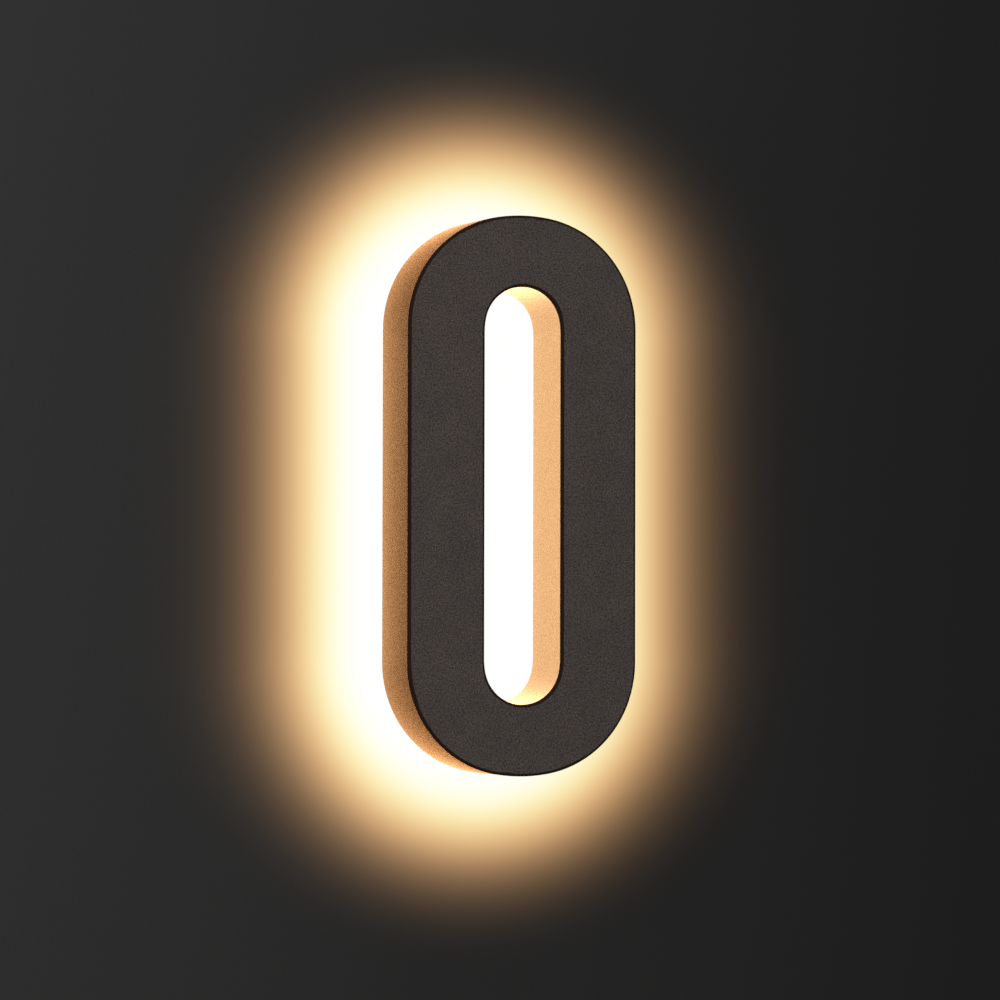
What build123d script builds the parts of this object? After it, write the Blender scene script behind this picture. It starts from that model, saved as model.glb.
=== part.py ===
"""Halo-lit house number 0.

The digit is a hollow powder-coated steel shell: a face plate with an outer and an inner return
welded behind it. It pushes over a cassette that stays on the wall. The cassette is an opal back
panel on four spacers, with the LED boards held in front of it on pillars, so that the light goes
back through the panel onto the wall. The panel is in two halves that the lock blocks join at the
top and the foot. A countersunk screw in each block clamps the shell, in a slot that is open to
the back.

Frame: the wall is the plane y = 0, the digit faces -y, z is up and x is to the right of someone
who reads the number. The origin is the middle of the four wall fixings. Sizes are millimetres.
"height" below is the distance from the wall. Plane.XZ faces the reader, so heights are offsets
of it and a positive extrusion comes forward.
"""

import os
from math import asin, cos, degrees, pi, radians, sin

from build123d import *

# Digit outline: straight stems, then at each end a crown arc with a shoulder arc on each side.
# A turn is how far, in degrees, an arc turns: half the crown of the digit, or a shoulder of the
# counter. The radii of its other arcs follow from the widths.
digit_width = 86.5
digit_height = 200.0
digit_crown_radius = 60.0
digit_crown_turn = 9.35
counter_width = 29.0
counter_height = 149.0
counter_shoulder_radius = 24.0
counter_shoulder_turn = 11.7

# Shell
shell_depth = 29.0
face_thickness = 1.5
return_thickness = 1.2
edge_radius = 1.2
stop_tab_length = 14.0
stop_tab_thickness = 1.2
stop_tab_foot = 3.5
stop_tab_leg = 8.0
stop_tab_step = 3.0

# Heights from the wall
wall_gap = 21.0
pad_thickness = 2.0
panel_recess = 1.0
panel_thickness = 4.0
panel_joint = 0.1
pillar_length = 10.0
board_thickness = 1.6

# Clearances
shell_clearance = 0.3
hole_clearance = 0.2
thread_clearance = 0.05

# Seals
seal_width = 2.0
seal_groove = 1.0

# LED boards and what is on them
board_inset = 5.4
board_gap = 0.5
led_count = 36
led_size = 3.0
led_height = 0.7
led_sideways = 5.0
phosphor_radius = 1.2
phosphor_depth = 0.3
resistor_count = 12
resistor_length = 3.2
resistor_width = 1.6
resistor_height = 0.6
resistor_sideways = 6.0
diode_length = 4.3
diode_width = 2.6
diode_height = 2.1
diode_chamfer = 0.3
diode_step = 2.0
capacitor_radius = 3.15
capacitor_height = 5.8
capacitor_round = 0.7
capacitor_foot = 6.6
capacitor_foot_height = 1.0
capacitor_step = 1.0
link_length = 9.0
link_width = 5.0
link_height = 2.2
link_contact_length = 13.0
link_contact_width = 0.8
link_contact_height = 0.3
link_contact_pitch = 2.4

# Pillars and small screws, M3
pillar_steps = (0.0, 7.0)
pillar_across_flats = 5.5
m3_radius = 1.5
m3_head_radius = 2.8
m3_head_height = 1.8
m3_head_round = 0.7
m3_countersunk_height = 1.3
m3_socket_flats = 2.0
m3_socket_depth = 0.9
board_screw_length = 6.0
panel_screw_length = 8.0

# Wall fixings
wall_screw_step = 4.0
wall_screw_radius = 2.0
wall_screw_shank_radius = 1.75
wall_screw_length = 60.0
wall_screw_thread_start = 1.0
wall_screw_point = 4.0
wall_screw_tip_radius = 0.2
wall_screw_head_radius = 4.0
wall_screw_head_height = 2.4
wall_screw_head_round = 1.2
wall_screw_cross = 4.4
wall_screw_cross_width = 1.0
wall_screw_cross_depth = 1.4
washer_radius = 4.8
washer_thickness = 1.0
spacer_radius = 5.0
pad_radius = 6.0
pad_hole_radius = 3.2
access_hole_radius = 5.0

# Lock blocks and lock screws
lock_block_width = 16.0
lock_block_reach = 9.0
lock_block_height = 7.0
lock_screw_length = 8.0
lock_screw_inset = 0.1
lock_block_screw_spacing = 10.0
lock_block_screw_setback = 5.9

# Cable entry and terminal
cable_step = -1.0
cable_bore_radius = 2.3
grommet_neck_radius = 4.2
grommet_flange_radius = 6.0
grommet_flange_thickness = 1.2
cable_hole_radius = 3.5
terminal_step = -3.0
terminal_width = 10.0
terminal_length = 9.0
terminal_height = 8.0
terminal_chamfer = 0.6
terminal_pole_pitch = 5.0
terminal_floor = 1.0
cage_width = 3.4
cage_length = 4.0
cage_height = 4.2
cage_base = 0.6
cage_window = 2.2
terminal_screw_radius = 1.0
terminal_screw_head_radius = 1.35
terminal_screw_head_height = 1.4
terminal_screw_length = 1.9
terminal_slot_width = 0.5
terminal_slot_depth = 0.6
pin_radius = 0.5
pin_stub = 1.0

# Heights that follow
shell_back = wall_gap
face_back = shell_back + shell_depth - face_thickness
panel_back = wall_gap + panel_recess
panel_front = panel_back + panel_thickness
spacer_length = panel_back - pad_thickness
board_back = panel_front + pillar_length
board_front = board_back + board_thickness
lock_height = panel_front + lock_block_height / 2

# Radii of the outlines that follow
digit_sine = sin(radians(digit_crown_turn))
digit_shoulder_radius = (digit_width / 2 - digit_crown_radius * digit_sine) / (1 - digit_sine)
counter_sine = cos(radians(counter_shoulder_turn))
counter_crown_radius = (
    counter_width / 2 - counter_shoulder_radius * (1 - counter_sine)
) / counter_sine

# Insets from the outlines that follow
seal_inset = return_thickness + shell_clearance
panel_inset = seal_inset + seal_width

# Middle of the stroke: two straight stems joined by half circles
middle_radius = (digit_width + counter_width) / 4
middle_stem = (digit_height + counter_height) / 4 - middle_radius
led_pitch = (4 * middle_stem + 2 * pi * middle_radius) / led_count


def facing_reader(height):
    """Work plane at a height from the wall. Local x is x, local y is z."""
    return Plane.XZ.offset(height)


def facing_wall(height):
    """Work plane at a height from the wall, seen from the wall. Local x is -x, local y is z."""
    return Plane((0, -height, 0), x_dir=(-1, 0, 0), z_dir=(0, 1, 0))


def from_behind(points):
    """Points as facing_wall needs them."""
    return [(-x, z) for x, z in points]


def middle(steps, sideways=0.0):
    """Point on the stroke and its heading in degrees. steps counts LED pitches from the middle of
    the right stem, upwards first; sideways moves the point out from the counter."""
    arc = pi * middle_radius
    stations = 4 * middle_stem + 2 * arc
    along = (steps * led_pitch + middle_stem) % stations
    upper = along < 2 * middle_stem + arc
    along = along if upper else along - 2 * middle_stem - arc
    turn = max(0.0, along - 2 * middle_stem) / middle_radius
    reach = middle_radius + sideways
    x = reach * cos(turn)
    z = min(along, 2 * middle_stem) - middle_stem + reach * sin(turn)
    if upper:
        return x, z, 90 + degrees(turn)
    return -x, -z, 270 + degrees(turn)


def spots(steps, sideways=0.0):
    """Points on the stroke at several steps, without their headings."""
    return [middle(step, sideways)[:2] for step in steps]


def outline(width, height, shoulder, crown, grow):
    """Filled outline of the digit or of its counter, grown outwards by grow."""
    half_width = width / 2 + grow
    half_height = height / 2 + grow
    shoulder = shoulder + grow
    crown = crown + grow
    split = asin((half_width - shoulder) / (crown - shoulder))
    crown_centre = half_height - crown
    shoulder_centre = crown_centre + (crown - shoulder) * cos(split)
    rise = 90 - degrees(split)
    with BuildSketch() as face:
        with BuildLine():
            Line((half_width, 0), (half_width, shoulder_centre))
            CenterArc((half_width - shoulder, shoulder_centre), shoulder, 0, rise)
            CenterArc((0, crown_centre), crown, rise, degrees(split))
            mirror(about=Plane.YZ)
            mirror(about=Plane.XZ)
        make_face()
    return face.sketch


def digit(inset=0.0):
    return outline(digit_width, digit_height, digit_shoulder_radius, digit_crown_radius, -inset)


def counter(inset=0.0):
    return outline(
        counter_width, counter_height, counter_shoulder_radius, counter_crown_radius, inset
    )


def stroke(inset=0.0):
    """The digit's stroke, drawn in from both of its outlines."""
    with BuildSketch() as band:
        add(digit(inset))
        add(counter(inset), mode=Mode.SUBTRACT)
    return band.sketch


def half_stroke(inset, joint, side):
    """Half of the stroke, short of the middle by half a joint: side is 1 for the right and -1 for
    the left."""
    with BuildSketch() as band:
        add(stroke(inset))
        with Locations((side * (digit_width + joint) / 2, 0)):
            Rectangle(digit_width, digit_height, mode=Mode.INTERSECT)
    return band.sketch


def ring_along_digit(near, far):
    with BuildSketch() as band:
        add(digit(near))
        add(digit(far), mode=Mode.SUBTRACT)
    return band.sketch


def ring_along_counter(near, far):
    with BuildSketch() as band:
        add(counter(far))
        add(counter(near), mode=Mode.SUBTRACT)
    return band.sketch


def pan_head_screw(length):
    """M3 screw with a domed head and a hexagon socket. The seat is z = 0, the shank goes down."""
    with BuildPart() as screw:
        Cylinder(m3_head_radius, m3_head_height, align=(Align.CENTER, Align.CENTER, Align.MIN))
        fillet(screw.edges().group_by(Axis.Z)[-1], m3_head_round)
        Cylinder(m3_radius, length, align=(Align.CENTER, Align.CENTER, Align.MAX))
        with BuildSketch(Plane.XY.offset(m3_head_height)):
            RegularPolygon(m3_socket_flats / 2, 6, major_radius=False)
        extrude(amount=-m3_socket_depth, mode=Mode.SUBTRACT)
    return screw.part


def countersunk_screw(length):
    """M3 screw whose flat head ends at z = 0. The shank goes down and length is overall."""
    with BuildPart() as screw:
        Cone(
            m3_radius,
            m3_head_radius,
            m3_countersunk_height,
            align=(Align.CENTER, Align.CENTER, Align.MAX),
        )
        with Locations((0, 0, -m3_countersunk_height)):
            Cylinder(
                m3_radius,
                length - m3_countersunk_height,
                align=(Align.CENTER, Align.CENTER, Align.MAX),
            )
        with BuildSketch():
            RegularPolygon(m3_socket_flats / 2, 6, major_radius=False)
        extrude(amount=-m3_socket_depth, mode=Mode.SUBTRACT)
    return screw.part


def save(piece, name):
    piece.label = name
    export_step(piece, f"parts/{name}.step")


os.makedirs("parts", exist_ok=True)

wall_screw_spots = spots((wall_screw_step, -wall_screw_step))
wall_screw_spots += [(-x, z) for x, z in wall_screw_spots]
pillar_turns = led_count / 2
pillar_spots = spots(
    (
        pillar_steps[0],
        pillar_steps[1],
        -pillar_steps[1],
        pillar_turns - pillar_steps[0],
        pillar_turns - pillar_steps[1],
        pillar_turns + pillar_steps[1],
    )
)
lock_z = digit_height / 2
lock_block_face = lock_z - seal_inset
lock_block_screw_spots = [
    (side * lock_block_screw_spacing / 2, end * (lock_block_face - lock_block_screw_setback))
    for side in (-1, 1)
    for end in (-1, 1)
]
cable_spot = middle(cable_step)[:2]
terminal_spot = middle(terminal_step)[:2]
pole_spots = [
    (terminal_spot[0] + side * terminal_pole_pitch / 2, terminal_spot[1]) for side in (-1, 1)
]

# --- Shell -------------------------------------------------------------------------------

# Face plate, cut from sheet, with its front edges ground round
with BuildPart() as face_plate:
    with BuildSketch(facing_reader(face_back)):
        add(stroke())
    extrude(amount=face_thickness)
    fillet(face_plate.edges().group_by(Axis.Y)[0], edge_radius)
save(face_plate.part, "face_plate")

# Slot for a lock screw, as a cutter at the top: open to the back, countersunk all along
with BuildPart() as lock_slot:
    slot_run = lock_height - shell_back
    throat = m3_radius + hole_clearance
    mouth = m3_head_radius + hole_clearance
    with BuildSketch(facing_reader(shell_back)):
        with BuildLine():
            Polyline(
                (-mouth, lock_z + mouth - throat),
                (-mouth, lock_z),
                (-throat, lock_z - mouth + throat),
                (-throat, lock_block_face),
                (throat, lock_block_face),
                (throat, lock_z - mouth + throat),
                (mouth, lock_z),
                (mouth, lock_z + mouth - throat),
                close=True,
            )
        make_face()
    extrude(amount=slot_run)
    with BuildSketch(Plane((0, -lock_height, 0), x_dir=(1, 0, 0), z_dir=(0, -1, 0))):
        with BuildLine():
            Polyline(
                (0, lock_block_face),
                (throat, lock_block_face),
                (throat, lock_z - mouth + throat),
                (mouth, lock_z),
                (mouth, lock_z + mouth - throat),
                (0, lock_z + mouth - throat),
                close=True,
            )
        make_face()
    revolve(axis=Axis((0, -lock_height, 0), (0, 0, 1)))

# Outer return, a strip bent round the digit and welded behind the face plate
with BuildPart() as outer_return:
    with BuildSketch(facing_reader(shell_back)):
        add(ring_along_digit(0, return_thickness))
    extrude(amount=face_back - shell_back)
    add(lock_slot.part, mode=Mode.SUBTRACT)
    add(lock_slot.part.mirror(Plane.XY), mode=Mode.SUBTRACT)
save(outer_return.part, "outer_return")

# Inner return, round the counter
with BuildPart() as inner_return:
    with BuildSketch(facing_reader(shell_back)):
        add(ring_along_counter(0, return_thickness))
    extrude(amount=face_back - shell_back)
save(inner_return.part, "inner_return")

# Stop tabs, small angles welded inside the outer return, that meet the panel's front
with BuildPart() as stop_tabs:
    tab_edge = digit_width / 2 - return_thickness
    for side in (-1, 1):
        for step in (-stop_tab_step, stop_tab_step):
            z = step * led_pitch
            with BuildSketch(Plane.XY.offset(z - stop_tab_length / 2)):
                with BuildLine():
                    Polyline(
                        (side * tab_edge, -panel_front),
                        (side * (tab_edge - stop_tab_foot), -panel_front),
                        (side * (tab_edge - stop_tab_foot), -panel_front - stop_tab_thickness),
                        (side * (tab_edge - stop_tab_thickness), -panel_front - stop_tab_thickness),
                        (side * (tab_edge - stop_tab_thickness), -panel_front - stop_tab_leg),
                        (side * tab_edge, -panel_front - stop_tab_leg),
                        close=True,
                    )
                make_face()
            extrude(amount=stop_tab_length)
save(stop_tabs.part, "stop_tabs")

# --- Panel and seals ---------------------------------------------------------------------


def panel_half(side):
    """One of the two halves of the opal back panel: side is 1 for the right and -1 for the left.
    Its holes for the M3 screws are countersunk from behind."""
    countersunk_spots = [
        spot for spot in pillar_spots + lock_block_screw_spots if side * spot[0] > 0
    ]
    with BuildPart() as panel:
        with BuildSketch(facing_reader(panel_back)):
            add(half_stroke(panel_inset, panel_joint, side))
            with Locations(*wall_screw_spots):
                Circle(wall_screw_radius + hole_clearance, mode=Mode.SUBTRACT)
            with Locations(cable_spot):
                Circle(grommet_neck_radius, mode=Mode.SUBTRACT)
        extrude(amount=panel_thickness)
        with Locations(facing_wall(panel_back)):
            with Locations(*from_behind(countersunk_spots)):
                CounterSinkHole(
                    radius=m3_radius + hole_clearance,
                    counter_sink_radius=m3_head_radius + hole_clearance,
                    depth=panel_thickness,
                    counter_sink_angle=90,
                )
    return panel.part


save(panel_half(1), "back_panel_right")
save(panel_half(-1), "back_panel_left")

# Silicone edge seals with a groove between their two lips
with BuildPart() as outer_seal:
    with BuildSketch(facing_reader(panel_back)):
        add(ring_along_digit(seal_inset, panel_inset))
    extrude(amount=panel_thickness)
    with BuildSketch(facing_reader(panel_back + (panel_thickness - seal_groove) / 2)):
        add(ring_along_digit(seal_inset, seal_inset + seal_groove))
    extrude(amount=seal_groove, mode=Mode.SUBTRACT)
save(outer_seal.part, "outer_seal")

with BuildPart() as inner_seal:
    with BuildSketch(facing_reader(panel_back)):
        add(ring_along_counter(seal_inset, panel_inset))
    extrude(amount=panel_thickness)
    with BuildSketch(facing_reader(panel_back + (panel_thickness - seal_groove) / 2)):
        add(ring_along_counter(seal_inset, seal_inset + seal_groove))
    extrude(amount=seal_groove, mode=Mode.SUBTRACT)
save(inner_seal.part, "inner_seal")

# --- Wall fixings ------------------------------------------------------------------------

with BuildPart() as wall_pads:
    with BuildSketch(facing_reader(0)):
        with Locations(*wall_screw_spots):
            Circle(pad_radius)
            Circle(pad_hole_radius, mode=Mode.SUBTRACT)
    extrude(amount=pad_thickness)
save(wall_pads.part, "wall_pads")

with BuildPart() as wall_spacers:
    with BuildSketch(facing_reader(pad_thickness)):
        with Locations(*wall_screw_spots):
            Circle(spacer_radius)
            Circle(wall_screw_radius + hole_clearance, mode=Mode.SUBTRACT)
    extrude(amount=spacer_length)
save(wall_spacers.part, "wall_spacers")

with BuildPart() as wall_washers:
    with BuildSketch(facing_reader(panel_front)):
        with Locations(*wall_screw_spots):
            Circle(washer_radius)
            Circle(wall_screw_radius + hole_clearance, mode=Mode.SUBTRACT)
    extrude(amount=washer_thickness)
save(wall_washers.part, "wall_washers")

# One wall screw: cross recess, shank, thread from just in front of the wall, and a point
shank_length = panel_front + washer_thickness - wall_screw_thread_start
with BuildPart() as wall_screw:
    Cylinder(
        wall_screw_head_radius,
        wall_screw_head_height,
        align=(Align.CENTER, Align.CENTER, Align.MIN),
    )
    fillet(wall_screw.edges().group_by(Axis.Z)[-1], wall_screw_head_round)
    Cylinder(
        wall_screw_shank_radius,
        shank_length,
        align=(Align.CENTER, Align.CENTER, Align.MAX),
    )
    with Locations((0, 0, -shank_length)):
        Cylinder(
            wall_screw_radius,
            wall_screw_length - wall_screw_point - shank_length,
            align=(Align.CENTER, Align.CENTER, Align.MAX),
        )
    with Locations((0, 0, wall_screw_point - wall_screw_length)):
        Cone(
            wall_screw_tip_radius,
            wall_screw_radius,
            wall_screw_point,
            align=(Align.CENTER, Align.CENTER, Align.MAX),
        )
    with BuildSketch(Plane.XY.offset(wall_screw_head_height)):
        Rectangle(wall_screw_cross, wall_screw_cross_width)
        Rectangle(wall_screw_cross_width, wall_screw_cross)
    extrude(amount=-wall_screw_cross_depth, mode=Mode.SUBTRACT)

with BuildPart(facing_reader(panel_front + washer_thickness)) as wall_screws:
    with Locations(*wall_screw_spots):
        add(wall_screw.part)
save(wall_screws.part, "wall_screws")

# --- Lock blocks -------------------------------------------------------------------------

# Aluminium blocks at the top and the foot, tapped for the lock screws
with BuildPart() as lock_blocks:
    with BuildSketch(facing_reader(panel_front)):
        for end in (-1, 1):
            with Locations((0, end * (lock_block_face - lock_block_reach / 2))):
                Rectangle(lock_block_width, lock_block_reach)
        add(digit(seal_inset), mode=Mode.INTERSECT)
    extrude(amount=lock_block_height)
    with BuildSketch(Plane.XY.offset(-lock_z)):
        with Locations((0, -lock_height)):
            Circle(m3_radius + thread_clearance)
    extrude(amount=2 * lock_z, mode=Mode.SUBTRACT)
    with BuildSketch(facing_reader(panel_front)):
        with Locations(*lock_block_screw_spots):
            Circle(m3_radius + thread_clearance)
    extrude(amount=panel_screw_length - panel_thickness + hole_clearance, mode=Mode.SUBTRACT)
save(lock_blocks.part, "lock_blocks")

with BuildPart(facing_wall(panel_back)) as lock_block_screws:
    with Locations(*from_behind(lock_block_screw_spots)):
        add(countersunk_screw(panel_screw_length))
save(lock_block_screws.part, "lock_block_screws")

with BuildPart() as lock_screws:
    lock_screw_top = lock_z - lock_screw_inset
    with Locations(
        Location((0, -lock_height, lock_screw_top)),
        Location((0, -lock_height, -lock_screw_top), (180, 0, 0)),
    ):
        add(countersunk_screw(lock_screw_length))
save(lock_screws.part, "lock_screws")

# --- Pillars and boards ------------------------------------------------------------------

with BuildPart() as board_pillars:
    with BuildSketch(facing_reader(panel_front)):
        with Locations(*pillar_spots):
            RegularPolygon(pillar_across_flats / 2, 6, major_radius=False)
            Circle(m3_radius + thread_clearance, mode=Mode.SUBTRACT)
    extrude(amount=pillar_length)
save(board_pillars.part, "board_pillars")

with BuildPart(facing_wall(panel_back)) as pillar_screws:
    with Locations(*from_behind(pillar_spots)):
        add(countersunk_screw(panel_screw_length))
save(pillar_screws.part, "pillar_screws")

with BuildPart(facing_reader(board_front)) as board_screws:
    with Locations(*pillar_spots):
        add(pan_head_screw(board_screw_length))
save(board_screws.part, "board_screws")


def board_half(side):
    """One of the two LED boards: side is 1 for the right and -1 for the left."""
    with BuildSketch() as face:
        add(half_stroke(board_inset, board_gap, side))
        with Locations(*pillar_spots):
            Circle(m3_radius + hole_clearance, mode=Mode.SUBTRACT)
        with Locations(*wall_screw_spots):
            Circle(access_hole_radius, mode=Mode.SUBTRACT)
        with Locations(cable_spot):
            Circle(cable_hole_radius, mode=Mode.SUBTRACT)
        with Locations(*pole_spots):
            Circle(pin_radius + thread_clearance, mode=Mode.SUBTRACT)
    return face.sketch


with BuildPart() as led_board_right:
    with BuildSketch(facing_reader(board_back)):
        add(board_half(1))
    extrude(amount=board_thickness)
save(led_board_right.part, "led_board_right")

with BuildPart() as led_board_left:
    with BuildSketch(facing_reader(board_back)):
        add(board_half(-1))
    extrude(amount=board_thickness)
save(led_board_left.part, "led_board_left")

# LEDs on the side of the boards that faces the wall, in two staggered rows
led_spots = [
    middle(number + 0.5, led_sideways if number % 2 else -led_sideways)
    for number in range(led_count)
]

with BuildPart() as led_packages:
    with BuildSketch(facing_reader(board_back)):
        for x, z, heading in led_spots:
            with Locations((x, z)):
                Rectangle(led_size, led_size, rotation=heading)
    extrude(amount=-led_height)
    with BuildSketch(facing_reader(board_back - led_height)):
        with Locations(*[(x, z) for x, z, heading in led_spots]):
            Circle(phosphor_radius)
    extrude(amount=phosphor_depth, mode=Mode.SUBTRACT)
save(led_packages.part, "led_packages")

with BuildPart() as led_phosphors:
    with BuildSketch(facing_reader(board_back - led_height)):
        with Locations(*[(x, z) for x, z, heading in led_spots]):
            Circle(phosphor_radius)
    extrude(amount=phosphor_depth)
save(led_phosphors.part, "led_phosphors")

# Series resistors, one for every three LEDs, on the side that faces the reader
resistor_steps = led_count / resistor_count
with BuildPart() as resistors:
    with BuildSketch(facing_reader(board_front)):
        for number in range(resistor_count):
            x, z, heading = middle((number + 0.5) * resistor_steps, resistor_sideways)
            with Locations((x, z)):
                Rectangle(resistor_length, resistor_width, rotation=heading)
    extrude(amount=resistor_height)
save(resistors.part, "resistors")

with BuildPart() as protection_diode:
    with BuildSketch(facing_reader(board_front)):
        with Locations(middle(diode_step)[:2]):
            Rectangle(diode_width, diode_length)
    extrude(amount=diode_height)
    chamfer(protection_diode.edges().group_by(Axis.Y)[0], diode_chamfer)
save(protection_diode.part, "protection_diode")

# Smoothing capacitor: a can on a square foot with two cut corners
with BuildPart() as smoothing_capacitor:
    with BuildSketch(facing_reader(board_front)):
        with Locations(middle(capacitor_step)[:2]):
            foot = Rectangle(capacitor_foot, capacitor_foot)
        chamfer(foot.vertices().group_by(Axis.Y)[-1], capacitor_foot_height)
    extrude(amount=capacitor_foot_height)
    with BuildSketch(facing_reader(board_front + capacitor_foot_height)):
        with Locations(middle(capacitor_step)[:2]):
            Circle(capacitor_radius)
    extrude(amount=capacitor_height - capacitor_foot_height)
    fillet(smoothing_capacitor.edges().group_by(Axis.Y)[0], capacitor_round)
save(smoothing_capacitor.part, "smoothing_capacitor")

# Links that carry the supply from one board to the other, at the top and the foot
link_heights = [end * (digit_height + counter_height) / 4 for end in (-1, 1)]
link_contact_spots = [
    (0, z + row * link_contact_pitch / 2) for z in link_heights for row in (-1, 1)
]

with BuildPart() as link_contacts:
    with BuildSketch(facing_reader(board_front)):
        with Locations(*link_contact_spots):
            Rectangle(link_contact_length, link_contact_width)
    extrude(amount=link_contact_height)
save(link_contacts.part, "link_contacts")

with BuildPart() as board_links:
    with BuildSketch(facing_reader(board_front)):
        with Locations(*[(0, z) for z in link_heights]):
            Rectangle(link_length, link_width)
    extrude(amount=link_height)
    with BuildSketch(facing_reader(board_front)):
        with Locations(*link_contact_spots):
            Rectangle(link_length, link_contact_width)
    extrude(amount=link_contact_height, mode=Mode.SUBTRACT)
save(board_links.part, "board_links")

# --- Cable entry and terminal ------------------------------------------------------------

# Rubber grommet snapped into the panel
with BuildPart() as cable_grommet:
    with BuildSketch(facing_reader(panel_back - grommet_flange_thickness)):
        with Locations(cable_spot):
            Circle(grommet_flange_radius)
    extrude(amount=grommet_flange_thickness)
    with BuildSketch(facing_reader(panel_back)):
        with Locations(cable_spot):
            Circle(grommet_neck_radius)
    extrude(amount=panel_thickness)
    with BuildSketch(facing_reader(panel_front)):
        with Locations(cable_spot):
            Circle(grommet_flange_radius)
    extrude(amount=grommet_flange_thickness)
    with BuildSketch(facing_reader(panel_back - grommet_flange_thickness)):
        with Locations(cable_spot):
            Circle(cable_bore_radius)
    extrude(amount=panel_thickness + 2 * grommet_flange_thickness, mode=Mode.SUBTRACT)
save(cable_grommet.part, "cable_grommet")

# Terminal housing: for each pole a cage pocket that opens upwards and a screw hole in front
cage_floor = board_front + terminal_floor
cage_front = cage_floor + cage_height
pocket_gap = hole_clearance / 2
pocket_length = (terminal_length + cage_length) / 2
with BuildPart() as terminal_block:
    with BuildSketch(facing_reader(board_front)):
        with Locations(terminal_spot):
            Rectangle(terminal_width, terminal_length)
    extrude(amount=terminal_height)
    chamfer(terminal_block.edges().group_by(Axis.Y)[0], terminal_chamfer)
    entry_top = terminal_spot[1] + terminal_length / 2
    with BuildSketch(Plane.XY.offset(entry_top - pocket_length)):
        with Locations(*[(x, -cage_floor - cage_height / 2) for x, z in pole_spots]):
            Rectangle(cage_width + 2 * pocket_gap, cage_height + 2 * pocket_gap)
    extrude(amount=pocket_length, mode=Mode.SUBTRACT)
    with BuildSketch(facing_reader(cage_front)):
        with Locations(*pole_spots):
            Circle(terminal_screw_head_radius + hole_clearance)
    extrude(amount=terminal_height, mode=Mode.SUBTRACT)
    with BuildSketch(facing_reader(board_front)):
        with Locations(*pole_spots):
            Circle(pin_radius + thread_clearance)
    extrude(amount=terminal_floor + pocket_gap, mode=Mode.SUBTRACT)
save(terminal_block.part, "terminal_block")

# Brass cages with their solder pins
with BuildPart() as terminal_cages:
    with BuildSketch(facing_reader(cage_floor)):
        with Locations(*pole_spots):
            Rectangle(cage_width, cage_length)
    extrude(amount=cage_height)
    with BuildSketch(Plane.XY.offset(terminal_spot[1] - cage_length / 2)):
        with Locations(*[(x, -cage_floor - cage_base) for x, z in pole_spots]):
            Rectangle(cage_window, cage_window, align=(Align.CENTER, Align.MAX))
    extrude(amount=cage_length, mode=Mode.SUBTRACT)
    with BuildSketch(facing_reader(cage_front)):
        with Locations(*pole_spots):
            Circle(terminal_screw_radius + thread_clearance)
    extrude(amount=cage_base + cage_window / 2 - cage_height, mode=Mode.SUBTRACT)
    with BuildSketch(facing_reader(board_back - pin_stub)):
        with Locations(*pole_spots):
            Circle(pin_radius)
    extrude(amount=board_thickness + pin_stub + terminal_floor)
save(terminal_cages.part, "terminal_cages")

with BuildPart() as terminal_screws:
    with BuildSketch(facing_reader(cage_front)):
        with Locations(*pole_spots):
            Circle(terminal_screw_head_radius)
    extrude(amount=terminal_screw_head_height)
    with BuildSketch(facing_reader(cage_front + terminal_screw_head_height)):
        with Locations(*pole_spots):
            Rectangle(terminal_slot_width, 2 * terminal_screw_head_radius)
    extrude(amount=-terminal_slot_depth, mode=Mode.SUBTRACT)
    with BuildSketch(facing_reader(cage_front)):
        with Locations(*pole_spots):
            Circle(terminal_screw_radius)
    extrude(amount=-terminal_screw_length)
save(terminal_screws.part, "terminal_screws")

print(f"LED pitch {led_pitch:.3f} mm")
print("wall screws at", [(round(x, 3), round(z, 3)) for x, z in wall_screw_spots])
print("cable entry at", [round(v, 3) for v in cable_spot])
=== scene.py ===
# %% [markdown]
# # A halo-lit house number, dressed and lit
#
# The real object is a hollow steel 0 with a powder coat. It stands on four spacers in front of a
# wall and throws its light back at it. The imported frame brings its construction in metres, with
# the place of every piece in its mesh. The outside could be modelled again here, but the
# construction has the right shapes already. So this lesson gives each piece its finish, grows
# fuller versions of two small parts, and then sets up the wall, the lamps and the camera.

# %% Load the frame
import math

import bmesh
import bpy
from mathutils import Matrix, Vector


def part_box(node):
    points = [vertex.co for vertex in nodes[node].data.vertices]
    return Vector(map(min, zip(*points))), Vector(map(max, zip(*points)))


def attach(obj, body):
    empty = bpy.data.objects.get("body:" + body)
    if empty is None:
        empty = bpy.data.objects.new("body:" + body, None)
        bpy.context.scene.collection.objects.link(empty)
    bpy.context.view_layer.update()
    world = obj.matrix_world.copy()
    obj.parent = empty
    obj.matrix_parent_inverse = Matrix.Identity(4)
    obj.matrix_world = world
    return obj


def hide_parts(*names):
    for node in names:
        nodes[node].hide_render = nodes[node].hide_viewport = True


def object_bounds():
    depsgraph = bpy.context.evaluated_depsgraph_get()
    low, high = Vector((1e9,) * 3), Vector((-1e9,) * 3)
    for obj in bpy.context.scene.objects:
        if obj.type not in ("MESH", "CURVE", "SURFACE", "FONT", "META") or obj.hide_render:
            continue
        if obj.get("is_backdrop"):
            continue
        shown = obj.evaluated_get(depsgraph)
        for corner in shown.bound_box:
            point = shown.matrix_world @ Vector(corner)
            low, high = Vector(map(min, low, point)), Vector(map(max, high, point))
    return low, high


MM = 0.001

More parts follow.
